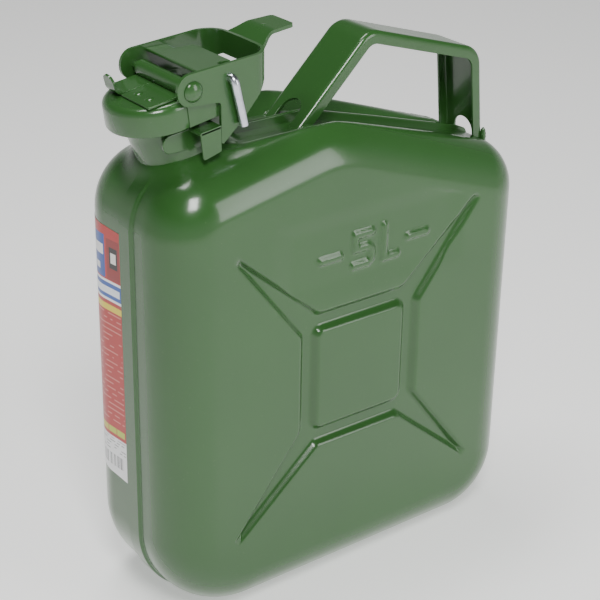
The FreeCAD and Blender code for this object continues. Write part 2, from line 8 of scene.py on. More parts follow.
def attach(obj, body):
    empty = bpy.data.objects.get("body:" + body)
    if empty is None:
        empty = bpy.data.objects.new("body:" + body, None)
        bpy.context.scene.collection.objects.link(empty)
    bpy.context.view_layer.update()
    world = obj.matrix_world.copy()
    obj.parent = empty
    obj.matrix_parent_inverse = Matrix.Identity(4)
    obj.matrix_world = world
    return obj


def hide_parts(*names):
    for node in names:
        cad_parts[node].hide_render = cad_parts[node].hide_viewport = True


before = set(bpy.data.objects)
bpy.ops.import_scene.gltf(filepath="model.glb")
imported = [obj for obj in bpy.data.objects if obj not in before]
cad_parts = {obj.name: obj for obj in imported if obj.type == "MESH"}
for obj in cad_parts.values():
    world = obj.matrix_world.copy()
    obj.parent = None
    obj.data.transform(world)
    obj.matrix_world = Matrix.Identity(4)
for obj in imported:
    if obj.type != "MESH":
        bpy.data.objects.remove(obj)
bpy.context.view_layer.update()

MM = 0.001  # the pieces are laid out in millimetres and scaled to metres when they are finished


# ---------------------------------------------------------------- camera, light and floor
# A plain pale floor and a soft studio: bright round the horizon and dark overhead, so that the can's sides mirror
# light and its roof mirrors shade. The camera stands off the spout's corner, above the can.

def srgb(code):
    """A colour written as #rrggbb, as linear RGBA."""
    parts = [int(code[i:i + 2], 16) / 255 for i in (1, 3, 5)]
    return [c / 12.92 if c <= 0.04045 else ((c + 0.055) / 1.055) ** 2.4 for c in parts] + [1.0]


def node(tree, kind, inputs=None, **settings):
    """Add a shader node, set its options, and give each input a value or a link."""
    made = tree.nodes.new("ShaderNode" + kind)
    for name, value in settings.items():
        setattr(made, name, value)
    for name, value in (inputs or {}).items():
        if isinstance(value, bpy.types.NodeSocket):
            tree.links.new(value, made.inputs[name])
        else:
            made.inputs[name].default_value = value
    return made


def new_material(name):
    """An empty node material, with its tree and shader."""
    material = bpy.data.materials.new(name)
    material.use_nodes = True
    return material, material.node_tree, material.node_tree.nodes["Principled BSDF"]


forward = Vector((0.54746, 0.71327, -0.43759)).normalized()
level = Vector((0.79328, -0.60886, 0.0)).normalized()
above = level.cross(forward)
roll = math.radians(1.01)  # the camera leans a little to one side
right = math.cos(roll) * level + math.sin(roll) * above
up = math.cos(roll) * above - math.sin(roll) * level
camera_data = bpy.data.cameras.new("camera")
camera_data.sensor_width = 36
camera_data.lens = 95.76
camera = bpy.data.objects.new("camera", camera_data)
camera.matrix_world = Matrix.Translation((-0.49616, -0.64084, 0.55049)) @ Matrix(
    (right, up, -forward)).transposed().to_4x4()
bpy.context.scene.collection.objects.link(camera)
bpy.context.scene.camera = camera

for light_name, place, size, watts, aim in (
        ("key_light", (-0.5, -0.8, 1.25), (0.35, 0.5), 15, (0.0, 0.0, 0.15)),
        ("face_light", (0.75, -1.45, 0.75), (0.6, 1.1), 11, (0.0, 0.0, 0.15)),
        ("top_light", (-0.1, 0.25, 1.35), (0.7, 0.3), 9, (0.0, 0.0, 0.2)),
):
    light_data = bpy.data.lights.new(light_name, "AREA")
    light_data.shape = "RECTANGLE"
    light_data.size, light_data.size_y = size
    light_data.energy = watts
    light = bpy.data.objects.new(light_name, light_data)
    light.location = place
    light.rotation_euler = (Vector(aim) - Vector(place)).to_track_quat("-Z", "Y").to_euler()
    bpy.context.scene.collection.objects.link(light)

world = bpy.data.worlds.new("studio")
world.use_nodes = True
bpy.context.scene.world = world
sky = world.node_tree
# Incoming points back at the viewer, so its Z is negative overhead
way_back = node(sky, "SeparateXYZ", {"Vector": node(sky, "NewGeometry").outputs["Incoming"]})
height = node(sky, "MapRange", {"Value": way_back.outputs["Z"], "From Min": -0.45, "From Max": -0.02})
studio_tone = node(sky, "ValToRGB", {"Fac": height.outputs["Result"]})
studio_tone.color_ramp.elements[0].color = srgb("#4c4f4c")
studio_tone.color_ramp.elements[1].color = srgb("#dfe1df")
sky.links.new(studio_tone.outputs["Color"], sky.nodes["Background"].inputs["Color"])
sky.nodes["Background"].inputs["Strength"].default_value = 1.0

floor_mesh = bmesh.new()
bmesh.ops.create_grid(floor_mesh, x_segments=1, y_segments=1, size=3)
floor_data = bpy.data.meshes.new("floor")
floor_mesh.to_mesh(floor_data)
floor_mesh.free()
floor = bpy.data.objects.new("floor", floor_data)
floor_paint, floor_tree, floor_shader = new_material("matt_white_sweep")
floor_shader.inputs["Base Color"].default_value = srgb("#f4f4f2")
floor_shader.inputs["Roughness"].default_value = 0.9
floor_shader.inputs["Emission Color"].default_value = srgb("#ffffff")
floor_shader.inputs["Emission Strength"].default_value = 0.5
floor_data.materials.append(floor_paint)
bpy.context.scene.collection.objects.link(floor)


# ---------------------------------------------------------------- the two shells
# Two deep-drawn halves of 0.9 mm sheet steel, enamelled green, each with a rounded face, a pressed cross and
# a volume mark. The near half ends in a raised band that laps over the edge of the far half.

def green_enamel(name, shade):
    """Stoved gloss enamel on steel: a clear hard surface with faint orange peel, over a sheet with slow waves."""
    material, tree, shader = new_material(name)
    place = node(tree, "TexCoord").outputs["Object"]
    # slow shifts of tone about 90 mm across, then rare pale specks of dust about 1 mm across
    cloud = node(tree, "TexNoise", {"Vector": place, "Scale": 11.0, "Detail": 2.0})
    light_green, dark_green = (srgb(code) for code in shade)
    tint = node(tree, "Mix", {"Factor": cloud.outputs["Fac"], 6: dark_green, 7: light_green},
                data_type="RGBA")
    specks = node(tree, "TexNoise", {"Vector": place, "Scale": 900.0, "Detail": 2.0})
    speck_mask = node(tree, "MapRange", {"Value": specks.outputs["Fac"], "From Min": 0.70, "From Max": 0.80,
                                         "To Max": 0.16})
    speckled = node(tree, "Mix", {"Factor": speck_mask.outputs["Result"], 6: tint.outputs[2],
                                  7: srgb("#7f9a6e")}, data_type="RGBA")
    tree.links.new(speckled.outputs[2], shader.inputs["Base Color"])
    dulling = node(tree, "TexNoise", {"Vector": place, "Scale": 30.0, "Detail": 3.0})
    gloss = node(tree, "MapRange", {"Value": dulling.outputs["Fac"], "To Min": 0.15, "To Max": 0.30})
    tree.links.new(gloss.outputs["Result"], shader.inputs["Roughness"])
    # waves of the pressed sheet 45 mm apart, and orange peel 2.4 mm apart
    wave = node(tree, "TexNoise", {"Vector": place, "Scale": 22.0, "Detail": 1.0})
    waves = node(tree, "Bump", {"Height": wave.outputs["Fac"], "Strength": 0.35, "Distance": 0.0012})
    peel = node(tree, "TexNoise", {"Vector": place, "Scale": 420.0, "Detail": 1.0})
    peeled = node(tree, "Bump", {"Height": peel.outputs["Fac"], "Strength": 0.30, "Distance": 0.00006,
                                 "Normal": waves.outputs["Normal"]})
    tree.links.new(peeled.outputs["Normal"], shader.inputs["Normal"])
    shader.inputs["IOR"].default_value = 1.5
    shader.inputs["Coat Weight"].default_value = 0.3
    shader.inputs["Coat Roughness"].default_value = 0.06
    return material


enamel = green_enamel("stoved_green_enamel", ("#2f5a28", "#274e21"))


ON_BODY = Vector((2.7, 0, 0))       # the body's own place, as in the CAD
ON_CLOSURE = Vector((-6.3, 0, 1))   # the closure's own place, as in the CAD


def finish_piece(name, bm, body, material, nodes=(), place=ON_CLOSURE):
    """Put the millimetre mesh in its place in metres, give it its material, tie the object to its CAD body, and
    hide the CAD nodes it stands for.
    """
    bmesh.ops.translate(bm, verts=bm.verts, vec=place)
    bmesh.ops.scale(bm, vec=(MM, MM, MM), verts=bm.verts)
    mesh = bpy.data.meshes.new(name)
    bm.to_mesh(mesh)
    bm.free()
    for face in mesh.polygons:
        face.use_smooth = True
    mesh.materials.append(material)
    made = bpy.data.objects.new(name, mesh)
    bpy.context.scene.collection.objects.link(made)
    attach(made, body)
    if nodes:
        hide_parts(*nodes)
    return made


def ease(value, low, high):
    """0 below low, 1 above high, and a smooth rise between."""
    t = min(max((value - low) / (high - low), 0.0), 1.0)
    return t * t * (3 - 2 * t)


def softer_of(a, b, blend):
    """The greater of two numbers, rounded off where they are nearly equal."""
    h = min(max(0.5 + (a - b) / (2 * blend), 0.0), 1.0)
    return b + (a - b) * h + blend * h * (1 - h)


# side view of the wall: x, z and corner radius, clockwise from the lower front corner
WALL_CORNERS = ((-121.5, 0, 52), (-121.5, 257.5, 34), (-13, 279.5, 75), (121.5, 231.5, 30), (121.5, 0, 42))
FACE_Y, FACE_ROUND = 46.5, 28.0
WALL_FLAT = FACE_Y - FACE_ROUND  # from the joint to the start of the face's rounding
LAP_WIDE, LAP_PROUD = 11.0, 1.5
VALLEY_HALF = 15
CROSS_Z, CROSS_DEEP = 133.5, 3.6
NECK_FOOT, NECK_WAY = Vector((-80.2, 0, 249.4)), Vector((-0.4426, 0, 0.8967))
ROOF_FROM = 230  # everything higher than this belongs to the roof


def around_wall(count):
    """Points and outward directions at equal steps round the wall's side view."""
    runs = []
    total = len(WALL_CORNERS)
    for i, (x, z, radius) in enumerate(WALL_CORNERS):
        corner = Vector((x, z))
        back = (Vector(WALL_CORNERS[i - 1][:2]) - corner).normalized()
        ahead = (Vector(WALL_CORNERS[(i + 1) % total][:2]) - corner).normalized()
        half = back.angle(ahead) / 2
        reach = radius / math.tan(half)
        centre = corner + (back + ahead).normalized() * (radius / math.sin(half))
        runs.append((corner + back * reach, corner + ahead * reach, centre, radius, math.pi - 2 * half))
    pieces = []
    for i, (start, end, centre, radius, turn) in enumerate(runs):
        pieces.append(("arc", start, centre, turn, radius * turn))
        following = runs[(i + 1) % total][0]
        pieces.append(("line", end, following, 0, (following - end).length))
    length = sum(piece[4] for piece in pieces)
    step, travelled, samples = length / count, 0.0, []
    for kind, first, second, turn, run_length in pieces:
        while travelled < run_length - 1e-9:
            part = travelled / run_length
            if kind == "arc":
                spoke = Matrix.Rotation(-turn * part, 2) @ (first - second)
                samples.append((second + spoke, spoke.normalized()))
            else:
                along = (second - first).normalized()
                samples.append((first + along * travelled, Vector((-along.y, along.x))))
            travelled += step
        travelled -= run_length
    return samples[:count]


def valley_floor(x):
    """Height of the flat floor between the two crests of the roof."""
    return 265 - (x + 8) * (1.5 / 58) if x < -8 else 265 - (x + 8) * (31.5 / 120)


def wall_depth(point, across, side):
    """How far the surface lies inside the plain wall, so far across from the joint: lap band and valley."""
    depth = 0.0
    if side < 0:
        standing = 1 - ease(across, LAP_WIDE - 1.1, LAP_WIDE + 0.3)
        depth = -LAP_PROUD * standing * ease(point.y, -0.4, 2.5)
    if point.y > 200:
        beyond = max(across - VALLEY_HALF, 0.0)
        valley = (point.y - valley_floor(point.x)) * 0.95 - 0.5 * beyond
        depth = softer_of(depth, valley, 2.0)
    return depth


def stroke_distance(x, z, points):
    """Distance from a point to a run of straight strokes."""
    here, best = Vector((x, z)), 1e9
    for start, end in zip(points, points[1:]):
        start, end = Vector(start), Vector(end)
        run = end - start
        t = min(max((here - start).dot(run) / run.length_squared, 0.0), 1.0)
        best = min(best, (here - start - run * t).length)
    return best


# middle lines of the mark's strokes, as x and z: two dashes, the figure and the letter
VOLUME_MARK = (
    ((-29, 203.5), (-16, 203.5)), ((31, 203.5), (44, 203.5)),
    ((5.5, 212.9), (-6.2, 212.9), (-6.2, 204.9), (3.2, 204.9), (5.4, 202.9), (5.4, 197.3), (3.2, 195.3),
     (-7, 195.3)),
    ((14, 213.9), (14, 195.3), (23.5, 195.3)),
)


def rounded_square(x, z, half, radius):
    """Signed distance to a rounded square, negative inside."""
    ox, oz = x - (half - radius), z - (half - radius)
    return math.hypot(max(ox, 0.0), max(oz, 0.0)) + min(max(ox, oz), 0.0) - radius


def face_depth(x, z, reading):
    """Depth of the pressed cross, less the height of the mark, which reading -1 turns round for its face."""
    ax, az = abs(x), abs(z - CROSS_Z)
    depth = 0.0
    if ax < 90 and az < 92:
        ring = min(-rounded_square(ax, az, 41.0, 6.0), rounded_square(ax, az, 29.5, 4.0))
        root, tip = Vector((33.0, 33.0)), Vector((82.0, 84.0))
        run = tip - root
        along = (Vector((ax, az)) - root).dot(run) / run.length
        across = abs((ax - root.x) * run.y - (az - root.y) * run.x) / run.length
        share = along / run.length
        arm = 9.0 - 7.2 * share - across if share > 0 else -5.0
        arm = min(arm, (1 - share) * 30)
        depth = CROSS_DEEP * ease(softer_of(ring, arm, 1.5), -1.0, 3.4)
    mark_x = x if reading > 0 else 15 - x
    panel = min(ease(z, 177.5, 191.5), 1 - ease(z, 219.5, 231.5), ease(mark_x, -62, -46),
                1 - ease(mark_x, 58, 74))
    depth = max(depth, 1.0 * panel)
    if 189.5 < z < 219.5 and -34 < mark_x < 50:
        nearest = min(stroke_distance(mark_x, z, points) for points in VOLUME_MARK)
        depth -= 1.5 * (1 - ease(nearest, 1.1, 3.0))
    return depth


def shell(name, side, nodes):
    """One pressed half as a grid: one way round the can, the other way from the joint to the face's middle."""
    around = 560
    # rows on the flat wall, round the bend, over the face, across the cross's ring, and on its middle square
    band, bend, outer, ring, middle = 38, 26, 58, 22, 20
    ring_half, island_half = 43.5, 27.0
    rows = band + bend + outer + ring + middle
    bm = bmesh.new()
    bmesh.ops.create_grid(bm, x_segments=around, y_segments=rows, size=0.5)
    samples = around_wall(around)
    for vert in bm.verts:
        column = round((vert.co.x + 0.5) * around) % around
        row = round((vert.co.y + 0.5) * rows)
        point, outward = samples[column]
        across, inset = 0.0, 0.0
        if row <= band:
            across = WALL_FLAT * row / band
        elif row <= band + bend:
            angle = (row - band) / bend * math.pi / 2
            across = WALL_FLAT + FACE_ROUND * math.sin(angle)
            inset = FACE_ROUND * (1 - math.cos(angle))
        if row <= band + bend:
            at = point - outward * inset
            near_neck = (Vector((at.x, across, at.y)) - NECK_FOOT).cross(NECK_WAY).length
            away = ease(near_neck, 24, 34) if at.y > ROOF_FROM else 1.0
            depth = wall_depth(point, across, side) * away
            if row > band:
                depth = max(softer_of(inset, depth, 3.0) if depth > 0 else inset, inset)
            position = point - outward * depth
            x, y, z = position.x, across, position.y
            if near_neck < 34 and at.y > ROOF_FROM:
                lift = 4.5 * (1 - ease(near_neck, 18, 34)) ** 2
                x, z = x + NECK_WAY.x * lift, z + NECK_WAY.z * lift
        else:
            edge = point - outward * FACE_ROUND - Vector((0, CROSS_Z))
            square = ring_half / max(abs(edge.x), abs(edge.y))
            past = row - band - bend
            if past <= outer:
                scale = 1 + (square - 1) * past / outer
            elif past <= outer + ring:
                scale = square * (1 - (1 - island_half / ring_half) * (past - outer) / ring)
            else:
                scale = square * (island_half / ring_half) * (1 - (past - outer - ring) / middle)
            x, z = edge.x * scale, edge.y * scale + CROSS_Z
            y = FACE_Y - face_depth(x, z, -side)
        vert.co = (x, y * side, z)
    bmesh.ops.remove_doubles(bm, verts=bm.verts, dist=0.001)
    inside_neck = []
    for face in bm.faces:
        centre = face.calc_center_median()
        if centre.z > 235 and (centre - NECK_FOOT).cross(NECK_WAY).length < 18.6:
            inside_neck.append(face)
    bmesh.ops.delete(bm, geom=inside_neck, context="FACES")
    bmesh.ops.recalc_face_normals(bm, faces=bm.faces)
    outermost = max(bm.faces, key=lambda face: face.calc_center_median().y * side)
    if outermost.normal.y * side < 0:
        bmesh.ops.reverse_faces(bm, faces=bm.faces)
    return finish_piece(name, bm, "root", enamel, nodes, ON_BODY)


shell("front_shell_skin", -1, ["front_shell"])
shell("rear_shell_skin", 1, ["rear_shell"])


# ---------------------------------------------------------------- seam flange
# The turned-out edges of both shells, welded together. They stand up in the valley of the roof.

def plate(points, radii=None, steps=6):
    """A flat face in the XZ plane with each corner rounded by its own radius."""
    bm = bmesh.new()
    verts = [bm.verts.new((x, 0, z)) for x, z in points]
    bm.faces.new(verts)
    if radii:
        places = [vert.co.copy() for vert in verts]
        for i, (vert, radius) in enumerate(zip(verts, radii)):
            if radius > 0:
                back = (places[i - 1] - places[i]).normalized()
                ahead = (places[(i + 1) % len(places)] - places[i]).normalized()
                reach = radius / math.tan(back.angle(ahead) / 2)
                bmesh.ops.bevel(bm, geom=[vert], offset=reach, offset_type="OFFSET", segments=steps,
                                profile=0.5, affect="VERTICES", material=-1)
    return bm


def thicken(bm, low_y, high_y):
    """Pull a flat XZ face out into a solid between two depths."""
    bmesh.ops.translate(bm, verts=bm.verts, vec=(0, low_y, 0))
    pulled = bmesh.ops.extrude_face_region(bm, geom=bm.faces[:])
    new_verts = [item for item in pulled["geom"] if isinstance(item, bmesh.types.BMVert)]
    bmesh.ops.translate(bm, verts=new_verts, vec=(0, high_y - low_y, 0))
    bmesh.ops.recalc_face_normals(bm, faces=bm.faces)


def soften(made, width, segments=2, angle=32):
    """A rounded edge on every sharp edge of a finished piece, width in millimetres."""
    bevel = made.modifiers.new("edges", "BEVEL")
    bevel.width = width * MM
    bevel.segments = segments
    bevel.limit_method = "ANGLE"
    bevel.angle_limit = math.radians(angle)
    bevel.harden_normals = True
    made.data.set_sharp_from_angle(angle=math.radians(angle))


flange = plate([(-59.5, 262), (-59.5, 268.2), (-54, 270.6), (-8, 270.8), (40, 257.6), (104, 239.2), (111, 236),
                (114, 230), (-8, 258)], [0, 2, 3, 20, 0, 6, 3, 0, 0])
thicken(flange, -1.1, 1.1)
flange_piece = finish_piece("seam_flange_strip", flange, "root", enamel, ["seam_flange"],
                            ON_BODY)
soften(flange_piece, 0.6)


# ---------------------------------------------------------------- neck
# A rolled steel spout, welded on the front slope and leaning forwards, with its lip rolled over.

def loft(bm, rings, segments=96):
    """Bridge circles one after another: each is x, z, radius, and its axis's lean towards -X in degrees."""
    edge_rings = []
    for x, z, radius, lean in rings:
        place = Matrix.Translation((x, 0, z)) @ Matrix.Rotation(math.radians(-lean), 4, "Y")
        made = bmesh.ops.create_circle(bm, segments=segments, radius=radius, matrix=place)["verts"]
        edge_rings.append(list({edge for vert in made for edge in vert.link_edges}))
    for first, second in zip(edge_rings, edge_rings[1:]):
        bmesh.ops.bridge_loops(bm, edges=first + second)
    bmesh.ops.recalc_face_normals(bm, faces=bm.faces)


def on_neck(share, radius):
    """A ring on the neck's axis, so far from foot to mouth."""
    lean = 26 - 18 * ease(share, 0.45, 1.0)
    return (-71.2 - 19.3 * share, 248.4 + 39.1 * share, radius, lean)


MOUTH_LEAN, LIP_TUBE = 8, 1.6
lip = []
for angle in range(-60, 151, 21):
    below = 1.2 - LIP_TUBE * math.sin(math.radians(angle))
    lip.append((-90.5 + math.sin(math.radians(MOUTH_LEAN)) * below,
                287.5 - math.cos(math.radians(MOUTH_LEAN)) * below,
                18.9 + LIP_TUBE * math.cos(math.radians(angle)), MOUTH_LEAN))
neck_outside = [(0.02, 22.6), (0.12, 22.2), (0.25, 21.2), (0.38, 20.3), (0.55, 19.6), (0.75, 19.2), (0.9, 19.0)]
neck_inside = [(0.93, 17.8), (0.6, 18.2), (0.3, 19.4), (0.0, 20.5)]
neck = bmesh.new()
loft(neck, [on_neck(*ring) for ring in neck_outside] + lip + [on_neck(*ring) for ring in neck_inside])
finish_piece("neck_spout", neck, "root", enamel, ["neck"])


# ---------------------------------------------------------------- air pipe, hinge bracket and pin
# Small steel parts that the cap hides. Their CAD shapes stay, with the finish of a plated tube,
# an enamelled bracket and a plated pin.

def zinc_plate(name, tone, dulness):
    """Bright zinc plating on steel wire or tube, with faint drawing lines."""
    material, tree, shader = new_material(name)
    place = node(tree, "TexCoord").outputs["Object"]
    streaks = node(tree, "TexNoise", {"Vector": place, "Scale": 260.0, "Detail": 3.0})
    tint = node(tree, "Mix", {"Factor": streaks.outputs["Fac"], 6: srgb(tone[0]), 7: srgb(tone[1])},
                data_type="RGBA")
    tree.links.new(tint.outputs[2], shader.inputs["Base Color"])
    rough = node(tree, "MapRange", {"Value": streaks.outputs["Fac"], "To Min": dulness,
                                    "To Max": dulness + 0.14})
    tree.links.new(rough.outputs["Result"], shader.inputs["Roughness"])
    shader.inputs["Metallic"].default_value = 1.0
    fine = node(tree, "Bump", {"Height": streaks.outputs["Fac"], "Strength": 0.2, "Distance": 0.00003})
    tree.links.new(fine.outputs["Normal"], shader.inputs["Normal"])
    return material


def paint_node(name, material):
    """Give a CAD node that stays in view its finish."""
    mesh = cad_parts[name].data
    mesh.materials.clear()
    mesh.materials.append(material)


bright_zinc = zinc_plate("zinc_plated_wire", ("#b4b8c4", "#dfe2e8"), 0.16)
paint_node("vent_tube", bright_zinc)
paint_node("hinge_pin", bright_zinc)
paint_node("gasket_retainer", bright_zinc)
paint_node("hinge_bracket", enamel)


# ---------------------------------------------------------------- cam lugs
# A folded steel lug on each side of the neck. The lever's hooked legs pull against them.

def cam_lug(name, side, nodes):
    """A tongue along the neck, a roof across it, and an outer flap that hangs down; side is -1 for the near one."""
    tongue = plate([(-98.6, 270.4), (-98.6, 279.6), (-83.4, 281.4), (-70.8, 283.2), (-70.8, 270.4)],
                   [4.4, 4.4, 0, 0.8, 2])
    thicken(tongue, 17.6 * side, 19.4 * side)
    roof = plate([(-83, 279.8), (-83, 281.8), (-70.6, 283.5), (-70.6, 281.6)])
    thicken(roof, 18.0 * side, 29.1 * side)
    flap = plate([(-81.1, 266.7), (-82.9, 281.6), (-70.6, 283.4), (-70.3, 269.8)], [1.4, 0.6, 0.6, 1.4])
    thicken(flap, 27.4 * side, 29.1 * side)
    bm = bmesh.new()
    for part in (tongue, roof, flap):
        mesh = bpy.data.meshes.new("part")
        part.to_mesh(mesh)
        part.free()
        bm.from_mesh(mesh)
        bpy.data.meshes.remove(mesh)
    made = finish_piece(name, bm, "root", enamel, nodes)
    soften(made, 0.5)
    return made


cam_lug("near_lug_plate", -1, ["near_lug"])
cam_lug("far_lug_plate", 1, ["far_lug"])


# ---------------------------------------------------------------- cap
# A pressed steel cup over the neck, with two wings that run back to the hinge pin.

CAP_TOP = Vector((-93, 0, 297.5))
CLOSURE = Matrix.Translation(CAP_TOP) @ Matrix.Rotation(math.radians(-8), 4, "Y")


def closure(back, above_top):
    """A point of the closure's middle plane, as x and z."""
    point = CLOSURE @ Vector((back, 0, above_top))
    return (point.x, point.z)


def lathe(bm, profile, steps=96):
    """Turn a run of radius and height round the Z axis."""
    verts = [bm.verts.new((radius, 0, z)) for radius, z in profile]
    edges = [bm.edges.new(pair) for pair in zip(verts, verts[1:])]
    bmesh.ops.spin(bm, geom=verts + edges, cent=(0, 0, 0), axis=(0, 0, 1), angle=2 * math.pi, steps=steps,
                   use_merge=True)
    bmesh.ops.remove_doubles(bm, verts=bm.verts, dist=0.0005)
    bmesh.ops.recalc_face_normals(bm, faces=bm.faces)


CAP_RADIUS, CAP_ROUND = 24.7, 4
rounding = [(CAP_RADIUS - CAP_ROUND + CAP_ROUND * math.sin(a), -CAP_ROUND + CAP_ROUND * math.cos(a)) for a in
            [math.radians(angle) for angle in range(0, 91, 15)]]
cap_skirt = [(CAP_RADIUS, -13.6), (24.4, -14.4), (23.9, -14.5), (23.5, -14.2), (23.5, -4.5)]
cap_underside = [(22.3, -2.2), (20, -1.2), (0, -1.2)]
cap = bmesh.new()
lathe(cap, [(0, 0), (14, 0)] + rounding + cap_skirt + cap_underside)
# the cup is open at the back, where it swings over the neck
back_wall = []
for face in cap.faces:
    centre = face.calc_center_median()
    if centre.x > 7 and centre.z < -6.5:
        back_wall.append(face)
bmesh.ops.delete(cap, geom=back_wall, context="FACES")
bmesh.ops.transform(cap, matrix=CLOSURE, verts=cap.verts)
soften(finish_piece("cap_cup", cap, "cap", enamel, ["cap"]), 0.25)

for wing_name, side in (("cap_wing_near", -1), ("cap_wing_far", 1)):
    wing = plate([closure(5, -14.4), closure(5, -2.6), closure(18, -3), (-58.6, 297.2), (-57.8, 288.6),
                  (-64, 287.6)], [0, 0, 4, 4, 4, 4])
    thicken(wing, 23.5 * side, 24.7 * side)
    soften(finish_piece(wing_name, wing, "cap", enamel), 0.4)


# ---------------------------------------------------------------- gasket
# A moulded rubber ring under the cap, held by a plated disc.

rubber, rubber_tree, rubber_shader = new_material("moulded_nitrile_rubber")
rubber_place = node(rubber_tree, "TexCoord").outputs["Object"]
rubber_grain = node(rubber_tree, "TexNoise", {"Vector": rubber_place, "Scale": 600.0, "Detail": 3.0})
rubber_tint = node(rubber_tree, "Mix", {"Factor": rubber_grain.outputs["Fac"], 6: srgb("#171716"),
                                        7: srgb("#2a2a28")}, data_type="RGBA")
rubber_tree.links.new(rubber_tint.outputs[2], rubber_shader.inputs["Base Color"])
rubber_bump = node(rubber_tree, "Bump", {"Height": rubber_grain.outputs["Fac"], "Strength": 0.3,
                                         "Distance": 0.00005})
rubber_tree.links.new(rubber_bump.outputs["Normal"], rubber_shader.inputs["Normal"])
rubber_shader.inputs["Roughness"].default_value = 0.62
paint_node("gasket", rubber)


# ---------------------------------------------------------------- strap on the cap
# A pressed strap spot-welded on the cap: a flat leaf, a tongue turned up in front, and a rolled knuckle for
# the rivet.

leaf = plate([closure(-14, 0.1), closure(-14, 1.6), closure(7, 1.6), closure(7, 0.1)])
thicken(leaf, -20.4, 4.8)
soften(finish_piece("cap_strap_leaf", leaf, "cap", enamel, ["cap_strap"]), 0.6, 3)
inner_leaf = plate([closure(-9.5, 0.1), closure(-9.5, 1.6), closure(7, 1.6), closure(7, 0.1)])
thicken(inner_leaf, 4.9, 20.4)
soften(finish_piece("cap_strap_inner_leaf", inner_leaf, "cap", enamel), 0.6, 3)

RIVET = Vector((-85.5, 0, 302.8))
knuckle = bmesh.new()
bmesh.ops.create_cone(knuckle, cap_ends=True, segments=48, radius1=4.2, radius2=4.2, depth=41,
                      matrix=Matrix.Translation(RIVET) @ Matrix.Rotation(math.radians(90), 4, "X"))
soften(finish_piece("cap_strap_knuckle", knuckle, "cap", enamel), 0.8, 3)

horn = bmesh.new()
bmesh.ops.create_grid(horn, x_segments=10, y_segments=22, size=1)
for vert in horn.verts:
    across, along = vert.co.x, (vert.co.y + 1) / 2
    back = -9 - 5.5 * ease(along, 0.0, 0.55) - 2.4 * along
    lifted = 1.0 + 10.2 * max(along - 0.22, 0.0) / 0.78 * ease(along, 0.1, 0.7)
    half = 5.2 - 1.0 * along
    tip = math.sqrt(max(1 - (max(along - 0.72, 0) / 0.30) ** 2, 0.0)) if along > 0.72 else 1.0
    x, z = closure(back, lifted)
    vert.co = (x, 10 + across * half * max(tip, 0.05), z)
bmesh.ops.recalc_face_normals(horn, faces=horn.faces)
horn_piece = finish_piece("cap_strap_horn", horn, "cap", enamel)
horn_wall = horn_piece.modifiers.new("sheet", "SOLIDIFY")
horn_wall.thickness, horn_wall.offset = 1.4 * MM, 0
soften(horn_piece, 0.4)

for weld_name, across in (("spot_weld_left", -12), ("spot_weld_right", -2)):
    spot = bmesh.new()
    lathe(spot, [(0, 0.7), (1.2, 0.55), (2.3, 0.1), (2.6, -0.4)], 32)
    bmesh.ops.transform(spot, matrix=CLOSURE @ Matrix.Translation((-8, across, 1.6)), verts=spot.verts)
    finish_piece(weld_name, spot, "cap", enamel)


# ---------------------------------------------------------------- rivet
# The through rivet that the lever turns on, with a domed head at each end, enamelled with the rest.

HEAD_RADIUS, HEAD_SEAT = 5.3, 27.05
head = [(HEAD_RADIUS * math.sin(a), 27.3 + 2.2 * math.cos(a) ** 1.4) for a in
        [math.radians(angle) for angle in range(0, 91, 15)]]
rivet_half = head + [(HEAD_RADIUS, HEAD_SEAT), (2.5, HEAD_SEAT)]
rivet = bmesh.new()
lathe(rivet, rivet_half + [(radius, -along) for radius, along in reversed(rivet_half)], 48)
bmesh.ops.transform(rivet, matrix=Matrix.Translation(RIVET) @ Matrix.Rotation(math.radians(90), 4, "X"),
                    verts=rivet.verts)
soften(finish_piece("lever_rivet", rivet, "cap", enamel, ["rivet_pin"]), 0.2)


# ---------------------------------------------------------------- lever
# A strip of 2 mm steel bent to a U round the closure, with a hooked leg on each cheek and a finger tab at the
# round end. It is cut flat as one outline and then wrapped round the bend.

# one half of the flat strip: distance along it from the middle of the round end, height, corner radius
STRIP_HALF = [
    (0, 315.9, 0), (14, 315.7, 0), (33.8, 314.8, 0), (78.6, 311.3, 7.8), (79.2, 295.9, 7.6),
    (53.7, 294.6, 2.2), (53.5, 273.4, 0.5), (52.4, 272.7, 0.5), (39.7, 284, 5), (33.8, 290.6, 0),
    (24.4, 299.7, 0), (15, 303.6, 4),
]
LEVER_END_X, LEVER_HALF, LEVER_BEND = -37.5, 27, 12
END_HALF = LEVER_HALF - LEVER_BEND  # half of the round end's flat part
BEND_RUN = 18.85                    # a quarter turn, measured along the strip
strip = [(-run, z, radius) for run, z, radius in reversed(STRIP_HALF[1:])] + STRIP_HALF + [(0, 303.6, 0)]
lever = plate([(run, z) for run, z, radius in strip], [radius for run, z, radius in strip])
for cut in [sign * (END_HALF + BEND_RUN * step / 9) for sign in (-1, 1) for step in range(10)] + [0, -7, 7]:
    bmesh.ops.bisect_plane(lever, geom=lever.verts[:] + lever.edges[:] + lever.faces[:], plane_co=(cut, 0, 0),
                           plane_no=(1, 0, 0))
for vert in lever.verts:
    side, run, z = (1 if vert.co.x > 0 else -1), abs(vert.co.x), vert.co.z
    if run <= END_HALF:
        x, y = LEVER_END_X, run
    elif run <= END_HALF + BEND_RUN:
        angle = (run - END_HALF) / LEVER_BEND
        x = LEVER_END_X - LEVER_BEND + LEVER_BEND * math.cos(angle)
        y = END_HALF + LEVER_BEND * math.sin(angle)
    else:
        x, y = LEVER_END_X - LEVER_BEND - (run - END_HALF - BEND_RUN), LEVER_HALF
    vert.co = (x, y * side, z)
bmesh.ops.recalc_face_normals(lever, faces=lever.faces)
outer_face = max(lever.faces, key=lambda face: face.calc_center_median().x)
if outer_face.normal.x < 0:
    bmesh.ops.reverse_faces(lever, faces=lever.faces)
